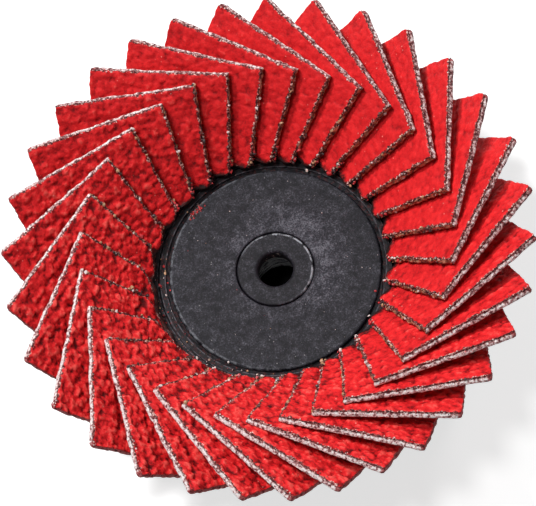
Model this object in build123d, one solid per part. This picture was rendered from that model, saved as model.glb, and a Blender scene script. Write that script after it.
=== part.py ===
"""Mini flap disc, 50 mm: a fan of inclined abrasive flaps bonded to a moulded backing plate.

Origin: centre of the back face, on the spindle axis.  +Z runs along the axis to the working face.
Every flap is a flat rectangle of coated cloth.  Its top edge lies in the working plane, it slopes
down and inwards, and its root stands in a bed of resin on the backing plate.
"""
from build123d import *
from math import cos, hypot, radians, sin, sqrt
import os

# ---- driving dimensions, millimetres and degrees -------------------------------------------------
DISC_RADIUS = 25.0            # tips of the flaps

FLAP_COUNT = 32
FLAP_DEPTH = 10.6             # working edge to root, measured down the slope
FLAP_SLOPE = 45.4             # flap plane against the working plane
FLAP_LEAD = 60.3              # root edge, seen from above, against the radius through its inner end
FLAP_GAP = 0.04               # clearance between neighbours where they crowd the most, at the root
ROOT_TRIM = 0.55              # corner cut off a flap's root beside the hub, where it is smallest
ROOT_TRIM_MORE = 2.7          # added to it where it is largest
ROOT_TRIM_BEARING = 213.0     # side of the disc where it is largest

FIRST_BEARING = 107.4         # inner root corner of the first flap, anticlockwise from +X
DRIFT_BEARING = 229.0         # side of the disc where the hand-set pitch has run ahead the most
DRIFT_ONCE = 3.2              # pitch error that comes round once a turn
DRIFT_TWICE = 2.6             # pitch error that comes round twice a turn

PLATE_MARGIN = 0.30           # plate beyond the outer corners of the flap roots
PLATE_THICKNESS = 2.4
PLATE_EDGE = 0.5              # chamfers of the plate's rim
BOSS_RADIUS = 8.0             # fastening boss on the back
BOSS_HEIGHT = 4.0
BOSS_EDGE = 0.6               # chamfer of the boss's end
BOSS_ROOT = 1.0               # cone that spreads the boss's foot on the plate

CAP_RADIUS = 10.28            # round face in the middle
CAP_THICKNESS = 1.36
CAP_PROUD = 0.26              # face above the top of the plate
CAP_BEVEL = 0.22
CAP_GROOVE = 0.42             # open groove round the cap
ROOT_CLEARANCE = 0.17         # cap edge to the nearest corner of a flap, seen from above

INNER_RING = 0.55             # width of the first moulded ring outside the groove
RING_GROOVE = 0.20            # groove between the two rings
RING_GROOVE_DEPTH = 0.30
OUTER_RING = 0.55             # width of the second ring, level with the plate
INNER_RING_PROUD = 0.12

BUSH_RADIUS = 3.80            # ring flush in the face
BUSH_HOLE = 1.70              # radius of the hole that shows in the face
BUSH_LIP = 0.35               # rounding of that hole's mouth
BUSH_BEVEL = 0.16             # bevels that leave a fine groove where bush and cap meet
BUSH_MARK = 0.12              # width and depth of the mark across the bush's rim
BUSH_MARK_LENGTH = 0.50

INSERT_RADIUS = 4.40
INSERT_GRIP = 0.45            # depth of the two grip grooves round the insert
INSERT_GRIP_HEIGHT = 0.90
THREAD_MINOR = 2.55           # radius of the wall of the quarter-inch thread, at its crests

RESIN_UNDER_FLAPS = 0.35      # resin below the lowest edge of a flap
RESIN_DEPTH = 1.20            # plate to resin surface
RESIN_EDGE = 0.2              # resin stops this far inside the plate's rim

# ---- heights --------------------------------------------------------------------------------------
PLATE_TOP = BOSS_HEIGHT + PLATE_THICKNESS
FACE_Z = PLATE_TOP + CAP_PROUD
CAP_SEAT_Z = FACE_Z - CAP_THICKNESS
RESIN_TOP = PLATE_TOP + RESIN_DEPTH

# ---- rings outside the cap --------------------------------------------------------------------------
RECESS_RADIUS = CAP_RADIUS + CAP_GROOVE
INNER_RING_RADIUS = RECESS_RADIUS + INNER_RING
OUTER_RING_START = INNER_RING_RADIUS + RING_GROOVE
RESIN_START = OUTER_RING_START + OUTER_RING

# ---- one flap, with the inner corner of its root on the +X side ---------------------------------------
LEAD = radians(FLAP_LEAD)
SLOPE = radians(FLAP_SLOPE)
EDGE_DIRECTION = Vector(cos(LEAD), sin(LEAD), 0)
UP_SLOPE = Vector(sin(LEAD) * cos(SLOPE), -cos(LEAD) * cos(SLOPE), sin(SLOPE))
GRAIN_SIDE = UP_SLOPE.cross(EDGE_DIRECTION)
ROOT_RADIUS = CAP_RADIUS + ROOT_CLEARANCE


def drift(bearing):
    """Degrees by which the flap at this bearing has run ahead of an even pitch."""
    angle = radians(bearing - DRIFT_BEARING)
    return DRIFT_ONCE * cos(angle) + DRIFT_TWICE * cos(2 * angle)


def root_spacing(turn):
    """Distance between the planes of two flaps that are this many degrees apart, at the root."""
    corner = Vector(ROOT_RADIUS, 0, 0)
    return GRAIN_SIDE.dot(corner.rotate(Axis.Z, turn) - corner)


EVEN_BEARINGS = [FIRST_BEARING + 360 * index / FLAP_COUNT for index in range(FLAP_COUNT)]
FLAP_BEARINGS = [bearing + drift(bearing) for bearing in EVEN_BEARINGS]
FLAP_TURNS = [
    after - before for before, after in zip(FLAP_BEARINGS, FLAP_BEARINGS[1:] + [FLAP_BEARINGS[0] + 360])
]

# Cloth and grain together fill the tightest spacing, apart from the clearance.
FLAP_THICKNESS = min(root_spacing(turn) for turn in FLAP_TURNS) - FLAP_GAP


def in_plan(point):
    """The point's distance from the axis."""
    return hypot(point.X, point.Y)


def reach(start, radius):
    """How far along EDGE_DIRECTION this point lies from a circle about the axis."""
    along = start.dot(EDGE_DIRECTION)
    return sqrt(along**2 - in_plan(start) ** 2 + radius**2) - along


ROOT_CORNER_Z = PLATE_TOP + RESIN_UNDER_FLAPS + FLAP_THICKNESS * cos(SLOPE)
ROOT_POINT = Vector(ROOT_RADIUS, 0, ROOT_CORNER_Z)
WORKING_CORNER = ROOT_POINT + UP_SLOPE * FLAP_DEPTH
FLAP_WIDTH = reach(WORKING_CORNER, DISC_RADIUS)
PLATE_RADIUS = in_plan(ROOT_POINT + EDGE_DIRECTION * FLAP_WIDTH) + PLATE_MARGIN


# ---- pieces -----------------------------------------------------------------------------------------
def root_trim(bearing):
    """Length of the corner cut off the root of the flap at this bearing."""
    facing = max(0.0, cos(radians(bearing - ROOT_TRIM_BEARING)))
    return ROOT_TRIM + ROOT_TRIM_MORE * facing**2


def make_flap(bearing):
    """The flap whose root starts at this bearing; the grain faces up and inwards."""
    plane = Plane(origin=ROOT_POINT, x_dir=EDGE_DIRECTION, z_dir=-GRAIN_SIDE)
    outline = Pos(FLAP_WIDTH / 2, FLAP_DEPTH / 2) * Rectangle(FLAP_WIDTH, FLAP_DEPTH)
    inner_end = outline.vertices().group_by(Axis.X)[0]
    outline = chamfer(inner_end.sort_by(Axis.Y)[0], root_trim(bearing))
    return Rot(0, 0, bearing) * extrude(plane * outline, amount=FLAP_THICKNESS)


def ring(inner, outer, bottom, top):
    """Plain ring about the axis."""
    profile = Plane.XZ * Pos((inner + outer) / 2, (bottom + top) / 2) * Rectangle(
        outer - inner, top - bottom
    )
    return revolve(profile, Axis.Z)


def make_backing_plate():
    """Plate, fastening boss, stepped rings and the seats for the cap and the insert."""
    outline = [
        (0, 0),
        (BOSS_RADIUS - BOSS_EDGE, 0),
        (BOSS_RADIUS, BOSS_EDGE),
        (BOSS_RADIUS, BOSS_HEIGHT - BOSS_ROOT),
        (BOSS_RADIUS + BOSS_ROOT, BOSS_HEIGHT),
        (PLATE_RADIUS - PLATE_EDGE, BOSS_HEIGHT),
        (PLATE_RADIUS, BOSS_HEIGHT + PLATE_EDGE),
        (PLATE_RADIUS, PLATE_TOP - PLATE_EDGE),
        (PLATE_RADIUS - PLATE_EDGE, PLATE_TOP),
        (0, PLATE_TOP),
    ]
    body = revolve(Plane.XZ * make_face(Polyline(outline, close=True)), Axis.Z)
    body += ring(RECESS_RADIUS, INNER_RING_RADIUS, PLATE_TOP, PLATE_TOP + INNER_RING_PROUD)
    body -= ring(
        INNER_RING_RADIUS, OUTER_RING_START, PLATE_TOP - RING_GROOVE_DEPTH, PLATE_TOP
    )
    body -= Pos(0, 0, CAP_SEAT_Z) * extrude(Circle(RECESS_RADIUS), CAP_THICKNESS)
    return body - make_insert_outside()


def make_insert_outside():
    """The insert's outer form, with two grooves that the plastic grips."""
    blank = extrude(Circle(INSERT_RADIUS), CAP_SEAT_Z)
    land = (CAP_SEAT_Z - 2 * INSERT_GRIP_HEIGHT) / 3
    for groove_z in (land, 2 * land + INSERT_GRIP_HEIGHT):
        blank -= ring(
            INSERT_RADIUS - INSERT_GRIP, INSERT_RADIUS, groove_z, groove_z + INSERT_GRIP_HEIGHT
        )
    return blank


def make_threaded_insert():
    """Steel insert, bored right through; the fine thread itself is left out."""
    return make_insert_outside() - extrude(Circle(THREAD_MINOR), CAP_SEAT_Z)


def make_face_cap():
    """Round face with a bevelled rim and a hole for the bush."""
    cap = extrude(Circle(CAP_RADIUS), CAP_THICKNESS)
    cap = chamfer(cap.edges().group_by(Axis.Z)[-1], CAP_BEVEL)
    cap -= extrude(Circle(BUSH_RADIUS), CAP_THICKNESS)
    bush_seat = cap.edges().group_by(Axis.Z)[-1].sort_by(SortBy.RADIUS)[0]
    cap = chamfer(bush_seat, BUSH_BEVEL)
    return Pos(0, 0, CAP_SEAT_Z) * cap


def make_centre_bush():
    """Bush flush with the face, with a rounded mouth to its hole and a mark across its rim."""
    bush = extrude(Circle(BUSH_RADIUS), CAP_THICKNESS)
    bush = chamfer(bush.edges().group_by(Axis.Z)[-1], BUSH_BEVEL)
    bush -= extrude(Circle(BUSH_HOLE), CAP_THICKNESS)
    mouth = bush.edges().group_by(Axis.Z)[-1].sort_by(SortBy.RADIUS)[0]
    bush = fillet(mouth, BUSH_LIP)
    bush -= Pos(0, BUSH_RADIUS - BUSH_MARK_LENGTH / 2, CAP_THICKNESS) * Box(
        BUSH_MARK, BUSH_MARK_LENGTH, 2 * BUSH_MARK
    )
    return Pos(0, 0, CAP_SEAT_Z) * bush


def make_resin_bed(flaps):
    """Ring of resin on the plate, with a slot for every flap that stands in it."""
    bed = ring(RESIN_START, PLATE_RADIUS - PLATE_EDGE - RESIN_EDGE, PLATE_TOP, RESIN_TOP)
    return bed - flaps


# ---- assembly ----------------------------------------------------------------------------------------
flaps = [make_flap(bearing) for bearing in FLAP_BEARINGS]

parts = {f"flap_{number:02d}": placed for number, placed in enumerate(flaps, start=1)}
parts["backing_plate"] = make_backing_plate()
parts["threaded_insert"] = make_threaded_insert()
parts["face_cap"] = make_face_cap()
parts["centre_bush"] = make_centre_bush()
parts["resin_bed"] = make_resin_bed(flaps)

os.makedirs("parts", exist_ok=True)
for name, solid in parts.items():
    export_step(solid, f"parts/{name}.step")
print(f"{FLAP_COUNT} flaps, {FLAP_THICKNESS:.3f} mm thick, {FLAP_WIDTH:.2f} mm wide; "
      f"plate {2 * PLATE_RADIUS:.2f} mm across")
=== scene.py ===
"""Looks of the small flap disc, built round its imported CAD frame.

Lengths are in millimetres unless a name says otherwise, and MM turns them into metres.
Each flap is rebuilt on the corners of its own CAD solid, with a relief of abrasive grain on
the coated face, layered cut edges and a woven back.
"""

import math

import bpy
import numpy as np
from mathutils import Matrix, Vector


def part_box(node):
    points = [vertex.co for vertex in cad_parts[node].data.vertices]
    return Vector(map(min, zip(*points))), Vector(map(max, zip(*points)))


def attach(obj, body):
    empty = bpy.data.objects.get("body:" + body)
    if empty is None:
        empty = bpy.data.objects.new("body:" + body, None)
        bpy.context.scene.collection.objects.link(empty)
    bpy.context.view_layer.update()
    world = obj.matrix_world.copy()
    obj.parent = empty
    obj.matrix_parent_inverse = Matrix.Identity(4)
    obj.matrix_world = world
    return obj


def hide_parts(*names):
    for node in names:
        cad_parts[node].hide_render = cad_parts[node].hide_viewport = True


MM = 0.001
SEED = 50
NOISE_SHIFT = 40              # most that a noise is moved, so that the pieces differ
TOUCHING = 0.01               # CAD corners nearer than this to a line lie on it

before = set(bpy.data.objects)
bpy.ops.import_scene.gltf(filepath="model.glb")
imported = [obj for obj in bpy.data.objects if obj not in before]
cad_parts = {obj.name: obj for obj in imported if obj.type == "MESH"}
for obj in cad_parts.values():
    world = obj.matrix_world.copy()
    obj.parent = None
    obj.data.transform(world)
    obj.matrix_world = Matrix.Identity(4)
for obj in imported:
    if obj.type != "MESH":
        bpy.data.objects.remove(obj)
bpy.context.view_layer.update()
FLAP_NODES = sorted(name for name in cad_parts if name.startswith("flap_"))

# ---- camera ----
IMAGE_WIDTH = 536             # pixels
IMAGE_HEIGHT = 506
HUB_PIXEL_X = 275.1           # where the middle of the hub face falls
HUB_PIXEL_Y = 268.9
PIXEL_AT_HUB = 0.09627        # size of a pixel at the hub face
CAMERA_DISTANCE = 240.7
VIEW_TILT = math.radians(21.4)
VIEW_BEARING = math.radians(288.0)
SENSOR = 36.0

# ---- flap detail ----
LATTICE_ACROSS = 96           # columns of the grain relief, along the working edge
LATTICE_DOWN = 75             # rows of the grain relief, down the slope
GRAIN_COARSE = 0.78           # spacing of the large grains
GRAIN_MEDIUM = 0.40
GRAIN_COARSE_HEIGHT = 0.175
GRAIN_MEDIUM_HEIGHT = 0.085
GRAIN_WARP = 0.22             # how far the grains are pushed out of round
WARP_SPACING = 0.45
DOME_REACH = 0.78             # radius of a rounded grain, in cells
DOME_LEAST = 0.30             # height of the lowest one, against the highest
CHIP_REACH = 0.80             # radius of a tilted chip, in cells
CHIP_SIDE = 0.30              # width of its steep side
CHIP_LEAN = 0.90              # slope of its top
CHIP_LEAST = 0.25             # height of the lowest chip, and how much the others differ
CHIP_SPREAD = 0.60
CHIP_TURN = 40                # spreads the directions that the chips lean in
CHIP_SHARE_LEAST = 0.30       # share of chips on the smoothest side, and half its growth across
CHIP_SHARE_GROWTH = 0.35
COARSE_WEIGHT = 0.62          # weight of the large grains in the colour
GRAIN_SINK = 0.10             # the valleys of the relief lie this far under the CAD face
COARSE_SIDE = math.radians(215.0)   # side of the disc with the roughest grain, where the colours also carry the strongest painted shade and light
COARSE_SHARE = 0.45           # share by which the relief is higher there and lower across from it
UNDULATION = 0.05
UNDULATION_SPACING = 2.6
WORN_MARGIN = 0.30            # the grain is lower within this distance of the free edges
WORN_HEIGHT = 0.35            # its height there, as a share
TIP_ROUNDING = 0.35
TRIM_ROUNDING = 1.05          # share by which rounding spreads the cut root corner
TRIM_POWER = 1.3              # roundness of that corner: 1 is a straight cut, 2 a quarter circle
EDGE_RAGGED = 0.070
RAGGED_SPACING = (0.8, 1.0)   # of the larger fraying, along and down
RAGGED_FINE = 0.33            # spacing of the finer fraying, and its share
RAGGED_FINE_SHARE = 0.8
RAGGED_END = 0.1              # share of a side over which the fraying fades
TIP_CURL = 0.22               # most that an outer end bends out of its plane
# Rows down a cut edge: share of the thickness, and how far the row stands out.
EDGE_ROWS = ((0.14, 0.000), (0.28, -0.045), (0.40, -0.040), (0.52, 0.030), (0.74, 0.050), (0.92, 0.015))
EDGE_DROP_LEAST = 0.01        # every row lies at least this far under the grain at the rim
EDGE_ROUGHNESS = 0.07
EDGE_ROUGHNESS_SPACING = 0.22
INNER_LUMPS = 0.16            # how much more the resin-soaked inner edge stands in and out
INNER_LUMP_SPACING = 0.42

# ---- loose grains ----
# Tints of the loose grains, places on one colour ramp.
PALE, TAN, BROWN, DARK, RED = 0.0, 0.30, 0.55, 0.80, 1.0
BEADS_INNER = 72              # on the inner edge of each flap
BEADS_WORKING = 64            # on the working edge of each flap
BEADS_ROOT = 22               # at the root corner of each flap
CRUMBS_ON_RINGS = 240
CRUMBS_ON_FACE = 45
SMEAR_GRAINS = 110
# Pale crumbs in the hole, as painted glints on its wall.
GLINT_CRUMBS_IN_HOLE = 7
SMEAR_RADIUS = 9.95           # a smear of red dust at the rim of the face
SMEAR_BEARING = math.radians(141.5)
OPEN_SIDE = math.radians(213.0)     # side where the rings lie open
# Larger crumbs: bearing in degrees, distance from the axis, radius and tint.
LARGE_CRUMBS = (
    (245.4, 10.30, 0.16, 0.00), (230.5, 11.50, 0.17, 0.00), (74.1, 10.62, 0.20, 0.10),
    (331.4, 10.34, 0.14, 0.00), (345.6, 10.00, 0.15, 1.00), (262.0, 10.75, 0.13, 0.10),
    (221.0, 11.05, 0.12, 0.30), (203.0, 11.60, 0.13, 0.90), (236.0, 10.95, 0.12, 0.20),
    (158.0, 8.20, 0.07, 0.00), (127.0, 7.60, 0.06, 0.00), (52.0, 7.20, 0.06, 0.00),
)


def value_table(seed):
    """Random numbers behind the noises: 64 by 64 cells of three."""
    return np.random.default_rng(seed).random((64, 64, 3))


def nearest_cell(a, b, spacing, table):
    """Distance to the nearest jittered cell centre, in cells, the cell's own random number and the
    two parts of the way from its centre."""
    size = table.shape[0]
    x = a / spacing
    y = b / spacing
    best = np.full(x.shape, 9.0)
    own, off_x, off_y = np.zeros(x.shape), np.zeros(x.shape), np.zeros(x.shape)
    for step_x in (-1, 0, 1):
        for step_y in (-1, 0, 1):
            cell_x = np.floor(x) + step_x
            cell_y = np.floor(y) + step_y
            pick = table[cell_x.astype(int) % size, cell_y.astype(int) % size]
            away_x = x - cell_x - pick[..., 0]
            away_y = y - cell_y - pick[..., 1]
            distance = np.hypot(away_x, away_y)
            closer = distance < best
            best = np.where(closer, distance, best)
            own = np.where(closer, pick[..., 2], own)
            off_x = np.where(closer, away_x, off_x)
            off_y = np.where(closer, away_y, off_y)
    return best, own, off_x, off_y


def smooth_noise(a, b, spacing, table):
    """Value noise between -0.5 and 0.5."""
    size = table.shape[0]
    x = a / spacing
    y = b / spacing
    left = np.floor(x).astype(int)
    low = np.floor(y).astype(int)
    u = x - left
    v = y - low
    u = u * u * (3 - 2 * u)
    v = v * v * (3 - 2 * v)

    def at(i, j):
        return table[i % size, j % size, 0]

    near = at(left, low) * (1 - u) + at(left + 1, low) * u
    far = at(left, low + 1) * (1 - u) + at(left + 1, low + 1) * u
    return near * (1 - v) + far * v - 0.5


def domes(a, b, spacing, table):
    """Rounded grains of differing height, between 0 and 1."""
    distance, own, _, _ = nearest_cell(a, b, spacing, table)
    return np.clip(1 - (distance / DOME_REACH) ** 2, 0, 1) * (DOME_LEAST + (1 - DOME_LEAST) * own)


def chips(a, b, spacing, table):
    """Tilted, flat-topped grains with steep sides, between 0 and 1."""
    distance, own, off_x, off_y = nearest_cell(a, b, spacing, table)
    lean = CHIP_LEAN * (off_x * np.cos(CHIP_TURN * own) + off_y * np.sin(CHIP_TURN * own))
    side = np.clip((CHIP_REACH - distance) / CHIP_SIDE, 0, 1)
    return np.clip(CHIP_LEAST + CHIP_SPREAD * own + lean, 0, 1) * side


def full_turn(count):
    """Bearings evenly spaced round the axis."""
    return np.linspace(0, 2 * math.pi, count, endpoint=False)


def new_mesh(name, points, faces, smooth=True):
    """Mesh from points in millimetres."""
    mesh = bpy.data.meshes.new(name)
    mesh.from_pydata((np.asarray(points) * MM).tolist(), [], [tuple(map(int, face)) for face in faces])
    mesh.polygons.foreach_set("use_smooth", [smooth] * len(faces))
    return mesh


def node_points(node):
    """Corners of a node's CAD mesh, in millimetres."""
    return np.array([vertex.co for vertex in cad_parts[node].data.vertices]) / MM


def add_object(name, data):
    made = bpy.data.objects.new(name, data)
    bpy.context.scene.collection.objects.link(made)
    return made


def add_attribute(mesh, name, values):
    layer = mesh.attributes.new(name, "FLOAT", "POINT")
    layer.data.foreach_set("value", np.asarray(values, np.float32))


# ---- flaps ----
def flap_place(node):
    """A flap's own axes and size, read from its CAD mesh, in millimetres.

    along runs out on the working edge, down runs down the slope, grain is the normal of the
    coated face, and corner is the inner end of the working edge on that face.
    """
    co = node_points(node)
    middle = co.mean(axis=0)
    grain = np.linalg.svd(co - middle, full_matrices=False)[2][2]
    if grain[2] < 0:
        grain = -grain
    top = co[co[:, 2] > co[:, 2].max() - TOUCHING]
    radius = np.hypot(top[:, 0], top[:, 1])
    corner = top[radius.argmin()]
    along = top[radius.argmax()] - corner
    along /= np.linalg.norm(along)
    down = np.cross(grain, along)
    across, deep, through = [(co - corner) @ axis for axis in (along, down, grain)]
    depth = deep.max()
    trim = depth - deep[across < TOUCHING].max()
    return {"corner": corner, "along": along, "down": down, "grain": grain, "trim": trim,
            "width": across.max(), "depth": depth, "thickness": -through.min(),
            "bearing": math.atan2(corner[1], corner[0])}


def in_space(place, a, b, c):
    """Points in millimetres from distances along, down and out of the coated face."""
    return (
        place["corner"]
        + np.outer(a, place["along"])
        + np.outer(b, place["down"])
        + np.outer(c, place["grain"])
    )


def flap_limits(b, place):
    """Least and greatest distance along the flap at each distance b down the slope."""
    width, depth = place["width"], place["depth"]
    spread = place["trim"] * TRIM_ROUNDING
    into = np.clip((b - (depth - spread)) / spread, 0, 1)
    low = spread * (1 - (1 - into**TRIM_POWER) ** (1 / TRIM_POWER))
    into = np.clip(1 - np.minimum(b, depth - b) / TIP_ROUNDING, 0, 1)
    high = width - TIP_ROUNDING * (1 - np.sqrt(1 - into**2))
    return low, high


def flap_relief(a, b, shift, table, crumbly):
    """Coarse and medium grains, between 0 and 1, pushed out of round; crumbly blends in chips."""
    warp_a = GRAIN_WARP * smooth_noise(a + shift[0], b + shift[1], WARP_SPACING, table)
    warp_b = GRAIN_WARP * smooth_noise(a - shift[1], b + shift[0], WARP_SPACING, table)
    coarse_at = (a + warp_a + shift[0], b + warp_b + shift[1], GRAIN_COARSE, table)
    medium_at = (a - warp_b + shift[1], b + warp_a + shift[0], GRAIN_MEDIUM, table)
    coarse = (1 - crumbly) * domes(*coarse_at) + crumbly * chips(*coarse_at)
    medium = (1 - crumbly) * domes(*medium_at) + crumbly * chips(*medium_at)
    return coarse, medium


def flap_mesh(node, number):
    place = flap_place(node)
    depth, thickness = place["depth"], place["thickness"]
    rng = np.random.default_rng(SEED + number)
    table = value_table(SEED * 7 + number)
    shift = rng.random(2) * NOISE_SHIFT
    coarse_side_light_and_shade = math.cos(place["bearing"] - COARSE_SIDE)
    rough = 1 + COARSE_SHARE * coarse_side_light_and_shade

    columns, rows = LATTICE_ACROSS, LATTICE_DOWN
    share_a = np.linspace(0, 1, columns)
    share_b = np.linspace(0, 1, rows)
    low, high = flap_limits(share_b * depth, place)
    a = low[:, None] + (high - low)[:, None] * share_a[None, :]
    b = np.repeat(share_b[:, None] * depth, columns, axis=1)

    def noise(spacing, offset):
        return smooth_noise(a + shift[0] + offset, b + shift[1] + offset, spacing, table)

    def near_end(share):
        return np.clip(np.abs(share - 0.5) * 2 - 1 + RAGGED_END, 0, RAGGED_END) / RAGGED_END

    def fray(spacing, offset, fine_offset):
        fine = RAGGED_FINE_SHARE * noise(RAGGED_FINE, fine_offset)
        return 2 * EDGE_RAGGED * (noise(spacing, offset) + fine)

    a_out = a + fray(RAGGED_SPACING[0], 3, 11) * near_end(share_a)[None, :]
    b_out = b + fray(RAGGED_SPACING[1], 7, 17) * near_end(share_b)[:, None]

    crumbly = CHIP_SHARE_LEAST + CHIP_SHARE_GROWTH * (1 + coarse_side_light_and_shade)
    coarse, medium = flap_relief(a, b, shift, table, crumbly)
    height = rough * (GRAIN_COARSE_HEIGHT * coarse + GRAIN_MEDIUM_HEIGHT * medium)
    height += UNDULATION * 2 * noise(UNDULATION_SPACING, 5)
    curl = TIP_CURL * (rng.random() * 2 - 1)
    bend = curl * (share_a[None, :] ** 2) * np.ones_like(b)
    edge_blend = np.clip(b / WORN_MARGIN, 0, 1) * np.clip((a - low[:, None]) / WORN_MARGIN, 0, 1)
    c = height * (WORN_HEIGHT + (1 - WORN_HEIGHT) * edge_blend) - GRAIN_SINK * rough + bend

    index = np.arange(columns * rows).reshape(rows, columns)
    loop = np.concatenate([index[0, :-1], index[:-1, -1], index[-1, :0:-1], index[:0:-1, 0]])
    count = len(loop)
    on_working = np.arange(count) < columns - 1
    on_outer = (np.arange(count) >= columns - 1) & (np.arange(count) < columns + rows - 2)
    on_inner = ~(on_working | on_outer)

    flat_a, flat_b, flat_c, flat_bend = a_out.ravel(), b_out.ravel(), c.ravel(), bend.ravel()
    points = [in_space(place, flat_a, flat_b, flat_c)]
    depth_in = [np.zeros(len(flat_a))]

    # The rim's outward direction in the flap's own plane, for the rows of the cut edge.
    rim_a, rim_b = flat_a[loop], flat_b[loop]
    tangent_a = np.roll(rim_a, -1) - np.roll(rim_a, 1)
    tangent_b = np.roll(rim_b, -1) - np.roll(rim_b, 1)
    length = np.hypot(tangent_a, tangent_b)
    out_a, out_b = tangent_b / length, -tangent_a / length
    travel = np.concatenate([[0], np.cumsum(np.hypot(np.diff(rim_a), np.diff(rim_b)))])
    rim_rows = [loop]
    start = columns * rows
    for share_in, stand_out in EDGE_ROWS + ((1.0, 0.0),):
        level = np.full(count, share_in * thickness)
        fine = smooth_noise(travel + shift[0], level * 3, EDGE_ROUGHNESS_SPACING, table)
        lumps = smooth_noise(travel + shift[1], level * 2, INNER_LUMP_SPACING, table)
        push = stand_out + EDGE_ROUGHNESS * fine + INNER_LUMPS * on_inner * lumps
        push *= share_in < 1
        row_c = np.minimum(flat_bend[loop] - level, flat_c[loop] - EDGE_DROP_LEAST)
        points.append(in_space(place, rim_a + push * out_a, rim_b + push * out_b, row_c))
        depth_in.append(np.full(count, share_in))
        rim_rows.append(np.arange(start, start + count))
        start += count

    faces = np.stack(
        [index[:-1, :-1], index[:-1, 1:], index[1:, 1:], index[1:, :-1]], axis=-1
    ).reshape(-1, 4).tolist()
    kinds = [0] * len(faces)
    edge_kind = np.where(on_inner, 2, 1)
    for upper, lower in zip(rim_rows, rim_rows[1:]):
        quads = np.stack([upper, lower, np.roll(lower, -1), np.roll(upper, -1)], axis=-1)
        faces += quads.tolist()
        kinds += edge_kind.tolist()

    # Back: strips between the inner and the outer edge, closed at the working edge and the root.
    back = rim_rows[-1]
    outer = back[columns - 1 : columns + rows - 1]
    inner = np.concatenate([[back[0]], back[: 2 * columns + rows - 4 : -1]])[:rows]
    root_row = back[columns + rows - 2 : 2 * columns + rows - 2]
    faces.append([inner[1], outer[1]] + back[columns - 1 :: -1].tolist())
    for row in range(1, rows - 2):
        faces.append([inner[row + 1], outer[row + 1], outer[row], inner[row]])
    faces.append(root_row[::-1].tolist() + [outer[rows - 2], inner[rows - 2]])
    kinds += [3] * (len(faces) - len(kinds))

    mesh = new_mesh(node + "_cloth", np.concatenate(points), faces)
    mesh.polygons.foreach_set("material_index", kinds)
    mesh.polygons.foreach_set("use_smooth", [kind != 3 for kind in kinds])
    levels = len(rim_rows) - 1
    relief = np.zeros(len(mesh.vertices))
    relief[: columns * rows] = (COARSE_WEIGHT * coarse + (1 - COARSE_WEIGHT) * medium).ravel()
    pale = np.concatenate([np.zeros(columns * rows)] + [np.where(on_outer, 0.0, 1.0)] * levels)
    # The contrast attribute carries the rough side into the materials: coarser grain, and also painted
    # shade on the grain and painted light on the cut edges.
    add_attribute(mesh, "contrast", np.full(len(relief), 0.5 + 0.5 * coarse_side_light_and_shade))
    add_attribute(mesh, "depth_in", np.concatenate(depth_in))
    add_attribute(mesh, "relief", relief)
    add_attribute(mesh, "pale", pale)
    down = np.concatenate([flat_b] + [rim_b] * levels)
    add_attribute(mesh, "from_working", down)
    add_attribute(mesh, "from_inner", np.concatenate([(a - low[:, None]).ravel()] + [rim_a] * levels))
    add_attribute(mesh, "from_root", depth - down)
    return mesh


# ---- beads, crumbs and dust ----
def bead_form():
    """Points and triangles of an icosahedron."""
    t = (1 + 5**0.5) / 2
    points = np.array([
        (-1, t, 0), (1, t, 0), (-1, -t, 0), (1, -t, 0), (0, -1, t), (0, 1, t),
        (0, -1, -t), (0, 1, -t), (t, 0, -1), (t, 0, 1), (-t, 0, -1), (-t, 0, 1),
    ]) / math.hypot(1, t)
    near = 2.1 / math.hypot(1, t)
    faces = []
    for i in range(12):
        for j in range(i + 1, 12):
            for k in range(j + 1, 12):
                trio = points[[i, j, k]]
                if max(np.linalg.norm(trio - np.roll(trio, 1, axis=0), axis=1)) < near:
                    outward = np.dot(np.cross(trio[1] - trio[0], trio[2] - trio[0]), trio.sum(axis=0)) > 0
                    faces.append((i, j, k) if outward else (i, k, j))
    return points, np.array(faces)


def bead_cloud(name, centres, radii, tints, seed):
    """One mesh of many rough beads, from lists of arrays; tint runs from PALE to RED."""
    centres, radii, tints = (np.concatenate(parts) for parts in (centres, radii, tints))
    form, triangles = bead_form()
    rng = np.random.default_rng(seed)
    count = len(centres)
    size = rng.uniform(0.6, 1.25, (count, 12, 1)) * radii[:, None, None]
    squash = rng.uniform(0.65, 1.2, (count, 1, 3))
    points = centres[:, None, :] + form[None, :, :] * size * squash
    faces = triangles[None, :, :] + 12 * np.arange(count)[:, None, None]
    mesh = new_mesh(name, points.reshape(-1, 3), faces.reshape(-1, 3), smooth=False)
    add_attribute(mesh, "tint", np.repeat(tints, 12))
    return mesh


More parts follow.
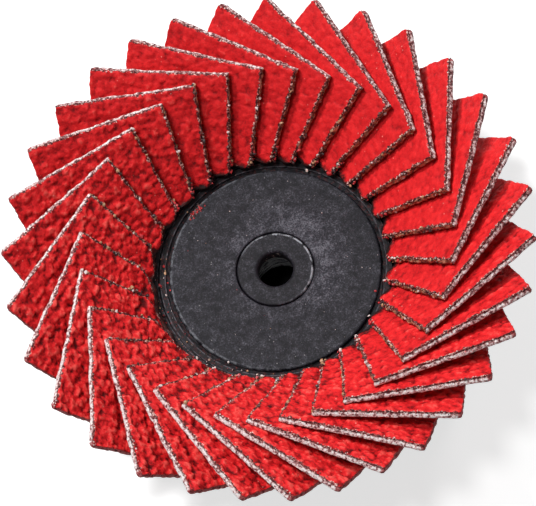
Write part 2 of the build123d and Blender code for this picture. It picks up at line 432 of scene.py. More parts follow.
def edge_beads():
    """Grains and resin beads caught on the inner and working edges of the flaps."""
    rng = np.random.default_rng(SEED + 500)
    centres, radii, tints = [], [], []

    def catch(points, least, spread, power, shares):
        """Beads at the points: radii from least to least + spread, and a share for each tint."""
        centres.append(points)
        radii.append(least + spread * rng.random(len(points)) ** power)
        tints.append(rng.choice(list(shares), len(points), p=list(shares.values())))

    for node in FLAP_NODES:
        place = flap_place(node)
        thickness = place["thickness"]
        edge = place["depth"] - place["trim"]
        clump = rng.uniform(0.0, edge, 9)
        b = np.clip(rng.choice(clump, BEADS_INNER) + rng.normal(0, 0.45, BEADS_INNER), 0, edge)
        a = rng.uniform(-0.05, 0.16, BEADS_INNER)
        c = -thickness * rng.uniform(-0.10, 0.95, BEADS_INNER)
        catch(in_space(place, a, b, c), 0.05, 0.18, 2.5, {PALE: 0.17, TAN: 0.33, BROWN: 0.26, DARK: 0.24})
        a = rng.uniform(0.0, place["width"], BEADS_WORKING)
        b = rng.uniform(-0.04, 0.14, BEADS_WORKING)
        c = -thickness * rng.uniform(-0.08, 0.45, BEADS_WORKING)
        catch(in_space(place, a, b, c), 0.035, 0.065, 2, {PALE: 0.34, BROWN: 0.24, DARK: 0.28, RED: 0.14})
        b = edge - rng.uniform(-0.3, 1.8, BEADS_ROOT)
        a = rng.uniform(-0.22, 0.12, BEADS_ROOT) + np.clip(b - edge, 0, 1)
        c = -thickness * rng.uniform(0.0, 0.8, BEADS_ROOT)
        catch(in_space(place, a, b, c), 0.08, 0.16, 2, {PALE: 0.05, TAN: 0.13, DARK: 0.40, RED: 0.42})
    return bead_cloud("edge_beads", centres, radii, tints, SEED + 501)


def polar(radius, bearing, height):
    """Points at the bearings; radius and height are arrays or one number for all."""
    parts = np.broadcast_arrays(radius * np.cos(bearing), radius * np.sin(bearing), height)
    return np.stack(parts, axis=-1)


def dust_and_crumbs(face_top, ring_top, cap_radius, hole_radius):
    """Crumbs on the rings, pale crumbs on the wall of the hole as painted glints, specks on the face and a
    smear of red dust at its rim.
    """
    rng = np.random.default_rng(SEED + 600)
    bearing = OPEN_SIDE + rng.normal(0, 0.80, CRUMBS_ON_RINGS)
    outwards = 2.0 * rng.random(CRUMBS_ON_RINGS) ** 0.6
    on_rings = polar(cap_radius + outwards, bearing, ring_top + 0.04)
    radii = [0.035 + 0.12 * rng.random(CRUMBS_ON_RINGS) ** 3]
    every = [PALE, TAN, BROWN, DARK, RED]
    tints = [rng.choice(every, CRUMBS_ON_RINGS, p=[0.12, 0.12, 0.26, 0.28, 0.22])]
    spots = polar(cap_radius * np.sqrt(rng.uniform(0.16, 1.0, CRUMBS_ON_FACE)),
                  rng.uniform(0, 2 * math.pi, CRUMBS_ON_FACE), face_top)
    radii.append(0.02 + 0.05 * rng.random(CRUMBS_ON_FACE) ** 3)
    tints.append(rng.choice([PALE, TAN, RED], CRUMBS_ON_FACE, p=[0.8, 0.1, 0.1]))
    smear = polar(SMEAR_RADIUS + rng.normal(0, 0.16, SMEAR_GRAINS),
                  SMEAR_BEARING + rng.normal(0, 0.045, SMEAR_GRAINS), face_top)
    radii.append(rng.uniform(0.04, 0.12, SMEAR_GRAINS))
    tints.append(rng.choice([BROWN, DARK, RED], SMEAR_GRAINS, p=[0.40, 0.30, 0.30]))
    bearing, away, size, tint = np.array(LARGE_CRUMBS).T
    resting_on = np.where(away < cap_radius - 0.05, face_top, ring_top)
    large = polar(away, np.radians(bearing), resting_on + 0.5 * size)
    radii.append(size)
    tints.append(tint)
    # Painted glints: pale crumbs on the upper wall of the hole, where glints show.
    glint_crumbs_in_hole = polar(hole_radius, rng.uniform(1.0, 2.6, GLINT_CRUMBS_IN_HOLE),
                    face_top - rng.uniform(0.4, 1.2, GLINT_CRUMBS_IN_HOLE))
    radii.append(rng.uniform(0.03, 0.07, GLINT_CRUMBS_IN_HOLE))
    tints.append(np.full(GLINT_CRUMBS_IN_HOLE, 0.1))
    return bead_cloud("crumbs", [on_rings, spots, smear, large, glint_crumbs_in_hole], radii, tints, SEED + 601)


# ---- resin ----
GROOVE_WIDTH = 0.42           # the groove round the face
GROOVE_GAP = 0.01             # between its floor and its sides
GROOVE_DROP = 0.25            # its floor lies this far under the plate's rings
RESIN_AROUND = 600
RESIN_ACROSS = 56
RESIN_LUMP = 0.85             # spacing of the lumps
RESIN_LUMP_HEIGHT = 0.22
RESIN_SINK = 0.12             # the valleys between the lumps lie this far under the CAD face
RESIN_ROUNDING = 0.35         # width and drop of the rounded sides
RESIN_FOOT = 0.42             # most that the inner foot creeps over the plate
# Rings of the walls, on the way round the section: share of the creep, share of the height.
RESIN_INNER_WALL = ((1.0, 0.0), (0.75, 0.3), (0.35, 0.65))
RESIN_OUTER_WALL = ((0.2, 0.6), (0.2, 0.0))


def groove_floor_mesh(inner, outer, low, high):
    """Uneven floor of the groove round the face, packed with dust."""
    table = value_table(SEED + 720)
    turn = full_turn(RESIN_AROUND)
    rows = [polar(inner, turn, low)]
    for radius in np.linspace(inner, outer, 7):
        lumps = smooth_noise(radius * turn, radius + 0 * turn, 0.30, table)
        lumps += smooth_noise(radius * turn, 3 * radius + 0 * turn, 1.4, table)
        rows.append(polar(radius, turn, high + 0.20 * lumps))
    rows.append(polar(outer, turn, low))
    return join_rows("dust", rows)


def resin_mesh(node):
    """The resin bed with a lumpy surface and an uneven inner foot."""
    inner, outer, low, high = node_ring(node)
    table = value_table(SEED + 700)
    bearing = full_turn(RESIN_AROUND)
    step = np.linspace(0, 1, RESIN_ACROSS)
    around, across = np.meshgrid(bearing, step, indexing="ij")
    ring = inner + (outer - inner) * across
    x, y = ring * np.cos(around) + NOISE_SHIFT, ring * np.sin(around) + NOISE_SHIFT
    lumps = domes(x, y, RESIN_LUMP, table) + 0.5 * domes(y, x, RESIN_LUMP * 0.45, table)
    drop = np.clip(1 - np.minimum(ring - inner, outer - ring) / RESIN_ROUNDING, 0, 1) ** 2
    top = high - RESIN_SINK + RESIN_LUMP_HEIGHT * lumps - RESIN_ROUNDING * drop

    def wall(base, side, share, up):
        """One ring of a wall, which creeps away from the resin on its side, -1 or 1."""
        creep = RESIN_FOOT * share * (smooth_noise(bearing * base, bearing * 0, 0.7, table) + 0.55)
        creep += 0.18 * smooth_noise(bearing * base, bearing * 0 + 9, 0.3, table)
        return polar(base + side * creep, bearing, low + up * (high - low))

    rows = [wall(inner, -1, share, up) for share, up in RESIN_INNER_WALL]
    x, y = x - NOISE_SHIFT, y - NOISE_SHIFT
    rows += [np.stack([x[:, i], y[:, i], top[:, i]], axis=-1) for i in range(RESIN_ACROSS)]
    rows += [wall(outer, 1, share, up) for share, up in RESIN_OUTER_WALL]
    return join_rows("resin", rows)


# ---- turned forms ----
LATHE_AROUND = 480
LIP_ROUNDING = 0.35           # mouth of the centre hole
SHOULDER = 0.17               # rounded shoulders on both sides of the fine groove
FINE_GROOVE = 0.09            # width of the gap between bush and face, and its depth
FINE_GROOVE_DEPTH = 0.55
RIM_ROUNDING = 0.22           # rim of the face
MARK_WIDTH = 0.12             # mark across the bush's rim, and its depth
MARK_LENGTH = 0.50


def corner_arc(centre_r, centre_z, radius, start, end, steps=7):
    """Points (r, z) of an arc between two directions in degrees."""
    angles = np.radians(np.linspace(start, end, steps))
    return [(centre_r + radius * math.cos(angle), centre_z + radius * math.sin(angle)) for angle in angles]


def lathe_rows(profile, turn):
    return [polar(r, turn, z) for r, z in profile]


def join_rows(name, rows, smooth=True):
    """Closed mesh from rings of points, each ring joined to the next and the last to the first."""
    index = np.arange(len(rows) * len(rows[0])).reshape(len(rows), len(rows[0]))
    index = np.vstack([index, index[:1]])
    after = np.roll(index, -1, axis=1)
    faces = np.stack([index[:-1], index[1:], after[1:], after[:-1]], axis=-1).reshape(-1, 4)
    return new_mesh(name, np.concatenate(rows), faces, smooth)


def node_ring(node):
    """Inner radius, outer radius, bottom and top of a CAD ring, in millimetres."""
    co = node_points(node)
    radius = np.hypot(co[:, 0], co[:, 1])
    return radius.min(), radius.max(), co[:, 2].min(), co[:, 2].max()


def ring_with_corners(node, inner_rounding, outer_rounding, steps, outer_gap=0.0):
    """Rings of points for a CAD ring whose two top corners are rounded."""
    inner, outside, low, top = node_ring(node)
    outer = outside - outer_gap
    profile = [(inner, low), (inner, top - inner_rounding - 0.02)]
    profile += corner_arc(inner + inner_rounding, top - inner_rounding, inner_rounding, 180, 90)
    between = np.linspace(inner + inner_rounding, outer - outer_rounding, steps + 2)[1:-1]
    profile += [(r, top) for r in between]
    profile += corner_arc(outer - outer_rounding, top - outer_rounding, outer_rounding, 90, 0)
    profile += [(outer, top - FINE_GROOVE_DEPTH), (outside, top - FINE_GROOVE_DEPTH - 0.01), (outside, low)]
    return lathe_rows(profile, full_turn(LATHE_AROUND))


def bush_mesh(node):
    """The centre bush, with the mark across its rim."""
    _, outer, _, top = node_ring(node)
    rows = np.array(ring_with_corners(node, LIP_ROUNDING, SHOULDER, 16, FINE_GROOVE))
    radius = np.hypot(rows[..., 0], rows[..., 1])
    marked = (np.abs(rows[..., 0]) < MARK_WIDTH / 2) & (rows[..., 1] > 0)
    marked &= (radius > outer - MARK_LENGTH) & (rows[..., 2] > top - MARK_WIDTH)
    rows[..., 2] = np.where(marked, top - MARK_WIDTH, rows[..., 2])
    return join_rows("bush", list(rows))


def cap_mesh(node):
    return join_rows("cap", ring_with_corners(node, SHOULDER, RIM_ROUNDING, 40))


# ---- threaded insert ----
THREAD_PITCH = 1.27
THREAD_DEPTH = 0.52
THREAD_AROUND = 96
THREAD_ALONG = 70
THREAD_ROOT = 0.2             # flat share of the pitch at the root
THREAD_MOUTH = 0.45           # length of the lead-in at each end, and its depth against the thread's
THREAD_MOUTH_DEPTH = 1.1
INSERT_GRIP = 0.45            # depth of the outer grooves
INSERT_GRIP_HEIGHT = 0.90


def insert_mesh(node):
    """The steel insert with its right-handed thread cut into the bore."""
    bore, outside, _, height = node_ring(node)
    turn = full_turn(THREAD_AROUND)
    rows = []
    for z in np.linspace(0, height, THREAD_ALONG):
        phase = (z / THREAD_PITCH - turn / (2 * math.pi)) % 1.0
        groove = np.clip((0.5 - np.abs(phase - 0.5)) / (0.5 - THREAD_ROOT / 2), 0, 1)
        mouth = np.clip(1 - min(z, height - z) / THREAD_MOUTH, 0, 1)
        cut = THREAD_DEPTH * np.maximum(groove, THREAD_MOUTH_DEPTH * mouth)
        rows.append(polar(bore + cut, turn, z))
    land = (height - 2 * INSERT_GRIP_HEIGHT) / 3
    side = [(outside, height)]
    for top in (height - land, height - 2 * land - INSERT_GRIP_HEIGHT):
        side += [(outside, top), (outside - INSERT_GRIP, top),
                 (outside - INSERT_GRIP, top - INSERT_GRIP_HEIGHT), (outside, top - INSERT_GRIP_HEIGHT)]
    side.append((outside, 0))
    rows += lathe_rows(side, turn)
    return join_rows("insert", rows, smooth=False)


# ---- materials ----
class Shader:
    """Short-hand for building one node material."""

    def __init__(self, name):
        self.material = bpy.data.materials.new(name)
        self.material.use_nodes = True
        self.tree = self.material.node_tree
        self.surface = self.tree.nodes["Principled BSDF"]

    def node(self, kind, inputs=None, **settings):
        made = self.tree.nodes.new(kind)
        for key, value in settings.items():
            setattr(made, key, value)
        for key, value in (inputs or {}).items():
            self.feed(made.inputs[key], value)
        return made

    def feed(self, socket, value):
        if isinstance(value, bpy.types.NodeSocket):
            self.tree.links.new(value, socket)
        else:
            socket.default_value = value

    def set(self, **inputs):
        for key, value in inputs.items():
            self.feed(self.surface.inputs[key.replace("_", " ")], value)

    def place_mm(self, stretch=(1, 1, 1)):
        """Object coordinates in millimetres."""
        where = self.node("ShaderNodeTexCoord").outputs["Object"]
        scale = tuple(1000 * s for s in stretch)
        return self.node("ShaderNodeMapping", {"Vector": where, "Scale": scale}).outputs["Vector"]

    def noise(self, where, scale, detail=3.0, roughness=0.55):
        return self.node("ShaderNodeTexNoise", {
            "Vector": where, "Scale": scale, "Detail": detail, "Roughness": roughness,
        }).outputs["Fac"]

    def cells(self, where, scale):
        """Distance to the nearest cell's middle."""
        return self.node("ShaderNodeTexVoronoi", {"Vector": where, "Scale": scale}).outputs["Distance"]

    def specks(self, where, scale, edge, patch_scale, patch):
        """Round specks, one to a cell, kept where a noise is high; edge and patch are remap limits."""
        kept = self.remap(self.noise(where, patch_scale, 2.0), *patch)
        return self.times(self.remap(self.cells(where, scale), *edge), kept)

    def attribute(self, name):
        return self.node("ShaderNodeAttribute", attribute_name=name).outputs["Fac"]

    def from_axis(self, where):
        """Distance from the disc's axis."""
        flat = self.node("ShaderNodeVectorMath", {0: where, 1: (1, 1, 0)}, operation="MULTIPLY")
        return self.node("ShaderNodeVectorMath", {0: flat.outputs[0]}, operation="LENGTH").outputs["Value"]

    def height(self, where):
        return self.node("ShaderNodeSeparateXYZ", {"Vector": where}).outputs["Z"]

    def from_point(self, where, point):
        """Distance from an upright line through the point."""
        moved = self.node("ShaderNodeVectorMath", {0: where, 1: point}, operation="SUBTRACT")
        return self.from_axis(moved.outputs[0])

    def towards(self, where, bearing, low, high):
        """Runs from 0 to 1 across the disc in the direction of a bearing in degrees."""
        way = (math.cos(math.radians(bearing)), math.sin(math.radians(bearing)), 0)
        along = self.node("ShaderNodeVectorMath", {0: where, 1: way}, operation="DOT_PRODUCT")
        return self.remap(along.outputs["Value"], low, high)

    def math(self, operation, first, second=0.0, third=0.0):
        made = self.node("ShaderNodeMath", operation=operation)
        for socket, value in zip(made.inputs, (first, second, third)):
            self.feed(socket, value)
        return made.outputs[0]

    def times(self, first, second):
        return self.math("MULTIPLY", first, second)

    def remap(self, value, low, high, to_low=0.0, to_high=1.0):
        return self.node("ShaderNodeMapRange", {
            "Value": value, "From Min": low, "From Max": high, "To Min": to_low, "To Max": to_high,
        }, interpolation_type="SMOOTHSTEP").outputs["Result"]

    def ramp(self, value, stops):
        made = self.node("ShaderNodeValToRGB", {"Fac": value})
        elements = made.color_ramp.elements
        while len(elements) < len(stops):
            elements.new(0.5)
        for element, (position, colour) in zip(elements, stops):
            element.position = position
            element.color = (*colour, 1)
        return made.outputs["Color"]

    def mix(self, factor, first, second):
        made = self.node("ShaderNodeMix", data_type="RGBA")
        self.feed(made.inputs["Factor"], factor)
        for socket, value in ((made.inputs[6], first), (made.inputs[7], second)):
            self.feed(socket, (*value, 1) if isinstance(value, tuple) else value)
        return made.outputs[2]

    def bump(self, height, distance_mm, strength=1.0, after=None):
        made = self.node("ShaderNodeBump", {
            "Height": height, "Distance": distance_mm * MM, "Strength": strength,
        })
        if after is not None:
            self.feed(made.inputs["Normal"], after)
        return made.outputs["Normal"]


EDGE_SPECKS = [
    (0.38, (0.018, 0.0038, 0.0051)),
    (0.49, (0.10, 0.013, 0.015)),
    (0.56, (0.33, 0.090, 0.077)),
    (0.63, (0.90, 0.61, 0.55)),
]


def grain_material():
    """Red ceramic grain under its size coat: dark pits and bright tops, partly the grain's own tone and
    partly painted shade and highlight, painted shade towards the root and speckled strips at the edges, the
    inner one partly painted shade.
    """
    s = Shader("red_grain")
    where = s.place_mm()
    relief = s.attribute("relief")
    patches = s.noise(where, 0.9, 4.0, 0.6)
    clots = s.noise(where, 2.4, 3.0, 0.65)
    speckle = s.noise(where, 6.0, 3.0, 0.65)
    # The tone follows the relief: valleys are coloured darker and tops lighter, partly the grain's own tone
    # and partly painted shade in the pits and painted highlight on the tops.
    tone = s.math("MULTIPLY_ADD", relief, 0.55, s.times(speckle, 0.30))
    tone = s.math("MULTIPLY_ADD", clots, 0.60, tone)
    tone = s.math("MULTIPLY_ADD", patches, 0.45, tone)
    # The contrast attribute widens this on the rough side. That is partly coarser grain and partly painted
    # shade where the light grazes those flaps.
    strength = s.math("MULTIPLY_ADD", s.attribute("contrast"), 1.25, 0.75)
    tone = s.math("MULTIPLY_ADD", s.math("SUBTRACT", tone, 0.88), strength, 0.56)
    # Painted shade: the grain is darker towards the root, deep in the bowl, and more so on the rough side.
    painted_root_shade = s.times(s.remap(s.attribute("from_root"), 7.0, 1.0), s.attribute("contrast"))
    tone = s.math("MULTIPLY_ADD", painted_root_shade, -0.16, tone)
    colour = s.ramp(tone, [
        (0.0, (0.058, 0.0015, 0.0026)),
        (0.25, (0.22, 0.0051, 0.0064)),
        (0.50, (0.64, 0.013, 0.017)),
        (0.78, (0.87, 0.023, 0.026)),
        (1.0, (0.95, 0.090, 0.077)),
    ])
    ragged = s.math("MULTIPLY_ADD", s.noise(where, 2.2, 4.0, 0.7), 0.90, -0.38)
    specks = s.ramp(s.noise(where, 4.5, 2.0, 0.6), EDGE_SPECKS)
    working_strip = s.remap(s.math("ADD", s.attribute("from_working"), ragged), 0.19, 0.12)
    # The dark speckled strip along the inner edge is partly the cut grain and partly painted shade along
    # the step between overlapping flaps.
    inner_strip = s.remap(s.math("ADD", s.attribute("from_inner"), ragged), 0.32, 0.22)
    colour = s.mix(s.math("MAXIMUM", working_strip, inner_strip), colour, specks)
    soak_noise = s.noise(where, 1.8, 4.0, 0.7)
    near_root = s.math("MULTIPLY_ADD", soak_noise, 1.4, s.attribute("from_root"))
    colour = s.mix(s.remap(near_root, 1.45, 0.85), colour, (0.018, 0.0051, 0.0051))
    glint = s.specks(where, 1.5, (0.13, 0.07), 0.8, (0.52, 0.60))
    colour = s.mix(s.times(glint, 0.6), colour, (0.95, 0.44, 0.38))
    fine = s.noise(where, 7.0, 3.0, 0.65)
    normal = s.bump(clots, 0.10, 0.5)
    s.set(Base_Color=colour, Roughness=s.remap(speckle, 0.2, 0.8, 0.60, 0.42),
          Specular_IOR_Level=0.22, Normal=s.bump(fine, 0.06, 0.8, normal))
    return s.material


def cut_edge_material():
    """Cut edge of the coated cloth: a dark speckled line of grain and size, then pale frayed cloth, painted
    paler and less speckled on the rough side, where the key lamp lights these edges.
    """
    s = Shader("cut_edge")
    where = s.place_mm()
    layer = s.attribute("depth_in")
    coarse_side_light_and_shade = s.attribute("contrast")
    # Painted light: on the rough side the dark specks spread less into the cloth.
    swing = s.math("MULTIPLY_ADD", coarse_side_light_and_shade, -0.45, 0.90)
    wobble = s.times(s.math("SUBTRACT", s.noise(where, 2.6, 3.0, 0.65), 0.5), swing)
    layer = s.math("ADD", layer, wobble)
    specks = s.ramp(s.noise(where, 4.5, 2.0, 0.6), EDGE_SPECKS)
    threads = s.noise(where, 3.4, 2.0, 0.6)
    # Painted light: the cloth is paler on the rough side, where the key lamp lights these edges.
    threads = s.math("MULTIPLY_ADD", coarse_side_light_and_shade, 0.085, threads)
    cloth = s.ramp(threads, [
        (0.42, (0.12, 0.033, 0.036)),
        (0.49, (0.49, 0.24, 0.24)),
        (0.55, (0.84, 0.61, 0.60)),
        (0.64, (0.95, 0.88, 0.87)),
    ])
    colour = s.mix(s.remap(layer, 0.30, 0.50), specks, cloth)
    edge_blend = s.mix(s.remap(threads, 0.40, 0.62), (0.070, 0.0077, 0.0090), (0.44, 0.058, 0.058))
    pale = s.math("MULTIPLY_ADD", s.attribute("pale"), 0.80, s.remap(threads, 0.52, 0.70, 0.05, 0.20))
    colour = s.mix(pale, edge_blend, colour)
    s.set(Base_Color=colour, Roughness=0.8, Specular_IOR_Level=0.25,
          Normal=s.bump(s.noise(where, 7.0, 3.0), 0.12))
    return s.material


def soaked_edge_material():
    """Inner and root edges, soaked in dark resin, with stray tan grains and glints."""
    s = Shader("soaked_edge")
    where = s.place_mm()
    lumps = s.noise(where, 2.4, 3.0, 0.7)
    colour = s.ramp(s.math("MULTIPLY_ADD", s.attribute("contrast"), -0.07, s.math("ADD", lumps, 0.05)), [
        (0.38, (0.015, 0.0051, 0.0038)),
        (0.46, (0.10, 0.026, 0.018)),
        (0.54, (0.38, 0.16, 0.083)),
        (0.62, (0.79, 0.51, 0.32)),
    ])
    low = s.remap(s.attribute("from_root"), 2.6, 1.2)
    colour = s.mix(low, colour, (0.015, 0.0051, 0.0051))
    s.set(Base_Color=colour, Roughness=s.remap(lumps, 0.3, 0.7, 0.30, 0.55),
          Normal=s.bump(s.noise(where, 5.0, 4.0, 0.7), 0.14))
    return s.material


def cloth_back_material():
    """Back of the flap: open woven cloth, tinted by the size coat."""
    s = Shader("cloth_back")
    where = s.place_mm()
    waves = [s.node("ShaderNodeTexWave", {"Vector": where, "Scale": 1.5, "Distortion": 0.4},
                    bands_direction=way).outputs["Fac"] for way in ("DIAGONAL", "Z")]
    threads = s.times(*waves)
    patches = s.noise(where, 0.8, 3.0)
    colour = s.mix(s.remap(patches, 0.3, 0.7), (0.67, 0.38, 0.33), (0.82, 0.56, 0.50))
    colour = s.mix(s.remap(threads, 0.1, 0.7), s.mix(0.5, colour, (0.26, 0.10, 0.090)), colour)
    s.set(Base_Color=colour, Roughness=0.85, Normal=s.bump(threads, 0.07))
    return s.material


def bead_material():
    """Loose grains: pale, tan, brown and red, a little glossy."""
    s = Shader("grain_beads")
    where = s.place_mm()
    colour = s.ramp(s.attribute("tint"), [
        (PALE, (0.95, 0.79, 0.76)),
        (TAN, (0.59, 0.33, 0.18)),
        (BROWN, (0.11, 0.028, 0.023)),
        (DARK, (0.028, 0.0064, 0.0077)),
        (RED, (0.67, 0.038, 0.044)),
    ])
    shade = s.remap(s.noise(where, 9.0, 2.0), 0.35, 0.65)
    colour = s.mix(shade, s.mix(0.45, colour, (0.026, 0.010, 0.010)), colour)
    s.set(Base_Color=colour, Roughness=s.remap(s.noise(where, 12.0), 0.3, 0.7, 0.25, 0.5))
    return s.material


HALO_MIDDLE = (1.0, 1.0, 0.0)     # middle of the paler halo round the bush, off towards the upper right


def face_plastic_material():
    """Charcoal moulded face: fine mottle, a paler halo round the bush off towards the upper right, painted
    highlights on the rims of the face and the bush, and a few specks of dust.
    """
    s = Shader("face_plastic")
    where = s.place_mm()
    mottle = s.noise(where, 1.1, 6.0, 0.75)
    fine = s.noise(where, 7.0, 3.0, 0.7)
    tone = s.math("MULTIPLY_ADD", mottle, 0.50, s.math("MULTIPLY_ADD", fine, 0.75, -0.135))
    radius = s.from_axis(where)
    near_middle = s.remap(s.from_point(where, HALO_MIDDLE), 7.2, 3.0)
    halo = s.times(s.remap(radius, 3.7, 4.1), near_middle)
    halo = s.times(halo, s.remap(s.noise(where, 0.5, 3.0, 0.55), 0.15, 0.70))
    tone = s.math("MULTIPLY_ADD", halo, 0.17, tone)
    tone = s.math("SUBTRACT", tone, s.remap(radius, 3.8, 3.7, 0.0, 0.02))
    colour = s.ramp(s.remap(tone, 0.36, 0.84), [
        (0.0, (0.0028, 0.0028, 0.0043)),
        (0.22, (0.0115, 0.0105, 0.0155)),
        (0.50, (0.041, 0.039, 0.051)),
        (1.0, (0.16, 0.16, 0.185)),
    ])
    # Painted highlights: the face's rim is lighter towards the left and the bush's rim towards the upper
    # right, where the lamps catch them. The rims are also made glossier.
    cap_rim = s.times(s.remap(radius, 9.96, 10.14), s.towards(where, 190, -4, 9))
    bush_rim = s.times(s.remap(radius, 3.46, 3.56), s.remap(radius, 3.76, 3.72))
    bush_rim = s.times(bush_rim, s.towards(where, 45, -2.5, 3.0))
    rims = s.math("MAXIMUM", s.times(cap_rim, 0.42), bush_rim)
    # Painted highlight on the rims, broken up by a noise.
    edge_blend = s.times(rims, s.remap(s.noise(where, 1.5, 4.0, 0.7), 0.40, 0.60))
    colour = s.mix(s.times(edge_blend, 0.9), colour, (0.38, 0.40, 0.44))
    dust = s.specks(where, 1.3, (0.09, 0.05), 0.7, (0.48, 0.58))
    colour = s.mix(s.times(dust, 0.6), colour, (0.38, 0.37, 0.38))
    rough = s.math("MULTIPLY_ADD", rims, -0.22, s.remap(mottle, 0.3, 0.7, 0.60, 0.44))
    s.set(Base_Color=colour, Roughness=rough, Specular_IOR_Level=0.17, Normal=s.bump(fine, 0.06, 0.9))
    return s.material


RING_CORNERS = (10.72, 11.23, 11.47)  # corners of the rings, painted lighter as highlights
PLATE_FRONT = (5.6, 6.2)      # heights between which the plate's front begins; dust and the painted corner highlights lie above


def moulded_plastic_material():
    """Black moulded plastic of the backing plate, with flow marks, red dust and painted highlights along
    the corners of its rings.
    """
    s = Shader("moulded_plastic")
    where = s.place_mm()
    flow = s.noise(s.place_mm((1, 1, 3)), 0.5, 4.0, 0.6)
    fine = s.noise(where, 7.0, 3.0, 0.6)
    colour = s.mix(s.remap(flow, 0.35, 0.65), (0.0051, 0.0051, 0.0064), (0.014, 0.014, 0.017))
    dust = s.remap(s.noise(where, 2.6, 4.0, 0.75), 0.50, 0.66)
    front = s.remap(s.height(where), *PLATE_FRONT)
    dust = s.times(dust, s.math("MULTIPLY_ADD", front, 0.45, 0.20))
    colour = s.mix(dust, colour, (0.090, 0.020, 0.020))
    radius = s.from_axis(where)
    # Painted highlights: the ring corners are coloured lighter where they catch the light.
    for corner in RING_CORNERS:
        away = s.math("ABSOLUTE", s.math("SUBTRACT", radius, corner))
        patchy = s.remap(s.noise(where, 1.8, 3.0, 0.7), 0.40, 0.60)
        edge_blend = s.times(s.times(s.remap(away, 0.09, 0.03), patchy), front)
        colour = s.mix(s.times(edge_blend, 0.7), colour, (0.13, 0.12, 0.14))
    s.set(Base_Color=colour, Roughness=s.remap(fine, 0.3, 0.7, 0.50, 0.64),
          Specular_IOR_Level=0.13, Normal=s.bump(fine, 0.06, 0.8))
    return s.material


def resin_material():
    """Cured adhesive: brown-black, lumpy, with stray grains in it."""
    s = Shader("resin")
    where = s.place_mm()
    lumps = s.noise(where, 2.0, 4.0, 0.7)
    colour = s.ramp(lumps, [
        (0.34, (0.010, 0.0051, 0.0064)),
        (0.52, (0.051, 0.017, 0.015)),
        (0.66, (0.15, 0.046, 0.036)),
    ])
    grains = s.specks(where, 2.6, (0.24, 0.14), 1.3, (0.50, 0.58))
    colour = s.mix(grains, colour, (0.38, 0.028, 0.032))
    s.set(Base_Color=colour, Roughness=s.remap(lumps, 0.3, 0.7, 0.3, 0.6),
          Specular_IOR_Level=0.35, Normal=s.bump(s.noise(where, 4.0, 4.0, 0.7), 0.12))
    return s.material


def steel_material():
    """Turned steel of the insert, with fine tool marks."""
    s = Shader("turned_steel")
    where = s.place_mm((0.4, 0.4, 6))
    marks = s.noise(where, 2.0, 3.0, 0.6)
    colour = s.mix(s.remap(marks, 0.3, 0.7), (0.26, 0.26, 0.27), (0.49, 0.49, 0.50))
    s.set(Base_Color=colour, Metallic=1.0, Roughness=s.remap(marks, 0.3, 0.7, 0.22, 0.36),
          Normal=s.bump(marks, 0.02, 0.5))
    return s.material


def seen_directly(tree):
    """1 for what the camera sees, straight or in metal and glass, and 0 for light on the object."""
    ray = tree.nodes.new("ShaderNodeLightPath")
    seen = ray.outputs["Is Camera Ray"]
    for kind in ("Is Glossy Ray", "Is Transmission Ray"):
        either = tree.nodes.new("ShaderNodeMath")
        either.operation = "MAXIMUM"
        tree.links.new(seen, either.inputs[0])
        tree.links.new(ray.outputs[kind], either.inputs[1])
        seen = either.outputs[0]
    return seen


FLOOR_HALF = 2000
FLOOR_GLOW = 0.70             # makes the lit floor white to the camera and in reflections
UNDER_BORE = 4.0              # painted shade: the floor is dark under the bore and does not glow there, so that the hole looks deep
UNDER_BORE_FADE = 1.0


def floor_material():
    """Plain pale floor, white to the camera and in reflections, that keeps the disc's shadow, with painted
    shade in a dark patch under the bore.
    """
    s = Shader("floor_white")
    where = s.place_mm()
    pale = s.mix(s.noise(where, 0.05, 2.0), (0.54, 0.54, 0.54), (0.56, 0.56, 0.56))
    # Painted shade: a dark patch under the bore, seen only through the hole.
    dark = s.remap(s.from_axis(where), UNDER_BORE + UNDER_BORE_FADE, UNDER_BORE)
    s.set(Base_Color=s.mix(dark, pale, (0.01, 0.01, 0.01)), Roughness=0.9, Specular_IOR_Level=0.0)
    full = s.math("MULTIPLY_ADD", dark, -FLOOR_GLOW, FLOOR_GLOW)
    strength = s.times(seen_directly(s.tree), full)
    glow = s.node("ShaderNodeEmission", {"Color": (1, 1, 1, 1), "Strength": strength})
    total = s.node("ShaderNodeAddShader", {0: s.surface.outputs["BSDF"], 1: glow.outputs["Emission"]})
    output = s.tree.nodes["Material Output"]
    s.tree.links.new(total.outputs["Shader"], output.inputs["Surface"])
    return s.material


# ---- pieces ----
def add_piece(name, mesh, materials, replaced=None):
    for material in materials:
        mesh.materials.append(material)
    piece = add_object(name, mesh)
    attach(piece, "root")
    if replaced:
        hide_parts(replaced)


def make_flaps():
    materials = [grain_material(), cut_edge_material(), soaked_edge_material(), cloth_back_material()]
    for number, node in enumerate(FLAP_NODES):
        add_piece(node + "_coated", flap_mesh(node, number), materials, node)


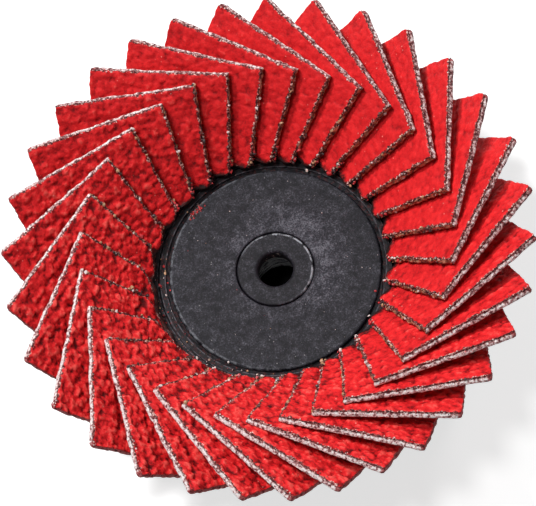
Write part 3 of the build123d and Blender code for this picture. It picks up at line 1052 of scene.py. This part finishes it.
def make_hub_detail():
    cap_low, cap_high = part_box("face_cap")
    plate_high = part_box("backing_plate")[1]
    cap_radius = cap_high[0] / MM
    hole_radius = node_ring("centre_bush")[0]
    crumbs = dust_and_crumbs(cap_high[2] / MM, plate_high[2] / MM, cap_radius, hole_radius)
    beads = bead_material()
    add_piece("edge_beads", edge_beads(), [beads])
    add_piece("loose_crumbs", crumbs, [beads])
    resin = resin_material()
    add_piece("resin_lumps", resin_mesh("resin_bed"), [resin], "resin_bed")
    plastic = moulded_plastic_material()
    dress_node("backing_plate", plastic)
    groove = groove_floor_mesh(cap_radius + GROOVE_GAP, cap_radius + GROOVE_WIDTH - GROOVE_GAP,
                               cap_low[2] / MM, plate_high[2] / MM - GROOVE_DROP)
    add_piece("groove_floor", groove, [plastic])
    add_piece("insert_thread", insert_mesh("threaded_insert"), [steel_material()],
              "threaded_insert")
    face = face_plastic_material()
    add_piece("face_cap_turned", cap_mesh("face_cap"), [face], "face_cap")
    add_piece("centre_bush_turned", bush_mesh("centre_bush"), [face], "centre_bush")


def dress_node(node, material):
    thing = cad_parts[node]
    thing.data.materials.clear()
    thing.data.materials.append(material)


# ---- stage ----
def make_floor():
    corners = [(-FLOOR_HALF, -FLOOR_HALF, 0), (FLOOR_HALF, -FLOOR_HALF, 0),
               (FLOOR_HALF, FLOOR_HALF, 0), (-FLOOR_HALF, FLOOR_HALF, 0)]
    mesh = new_mesh("floor", corners, [(0, 1, 2, 3)])
    mesh.materials.append(floor_material())
    floor = add_object("floor", mesh)


def add_lamp(name, bearing, elevation, distance, size, power):
    """A disc-shaped lamp that faces the middle of the object, distances in metres."""
    light = bpy.data.lights.new(name, "AREA")
    light.shape = "DISK"
    light.size = size
    light.energy = power
    lamp = add_object(name, light)
    bearing, elevation = math.radians(bearing), math.radians(elevation)
    level = math.cos(elevation)
    way = Vector((level * math.cos(bearing), level * math.sin(bearing), math.sin(elevation)))
    lamp.location = way * distance
    lamp.rotation_euler = way.to_track_quat("Z", "Y").to_euler()


WORLD_LIGHT = 0.05            # what the world lights the object with


def make_light():
    """Three lamps, and a dim world that is white where it is seen directly."""
    world = bpy.data.worlds.new("studio")
    bpy.context.scene.world = world
    world.use_nodes = True
    tree = world.node_tree
    background = tree.nodes["Background"]
    background.inputs["Color"].default_value = (1, 1, 1, 1)
    strength = tree.nodes.new("ShaderNodeMapRange")
    strength.inputs["To Min"].default_value = WORLD_LIGHT
    tree.links.new(seen_directly(tree), strength.inputs["Value"])
    tree.links.new(strength.outputs["Result"], background.inputs["Strength"])
    add_lamp("key", bearing=144, elevation=60, distance=0.8, size=0.11, power=4.6)
    add_lamp("overhead", bearing=180, elevation=76, distance=0.8, size=0.16, power=2.4)
    add_lamp("rim", bearing=62, elevation=34, distance=0.8, size=0.14, power=1.2)


def make_camera():
    target = Vector((0, 0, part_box("face_cap")[1].z))
    tilt, bearing = VIEW_TILT, VIEW_BEARING
    back = Vector((math.sin(tilt) * math.cos(bearing), math.sin(tilt) * math.sin(bearing), math.cos(tilt)))
    hinge = Vector((-math.sin(bearing), math.cos(bearing), 0))
    turn = Matrix.Rotation(tilt, 3, hinge)
    right = turn @ Vector((1, 0, 0))
    up = turn @ Vector((0, 1, 0))
    camera = add_object("camera", bpy.data.cameras.new("camera"))
    pose = Matrix((right, up, back)).transposed().to_4x4()
    pose.translation = target + back * CAMERA_DISTANCE * MM
    camera.matrix_world = pose
    camera.data.sensor_width = SENSOR
    camera.data.lens = SENSOR * CAMERA_DISTANCE / (PIXEL_AT_HUB * IMAGE_WIDTH)
    camera.data.shift_x = (IMAGE_WIDTH / 2 - HUB_PIXEL_X) / IMAGE_WIDTH
    camera.data.shift_y = (HUB_PIXEL_Y - IMAGE_HEIGHT / 2) / IMAGE_WIDTH
    camera.data.clip_start = 0.01
    camera.data.clip_end = 20
    bpy.context.scene.camera = camera
    bpy.context.scene.view_settings.view_transform = "Standard"


make_camera()
make_light()
make_floor()
make_flaps()
make_hub_detail()
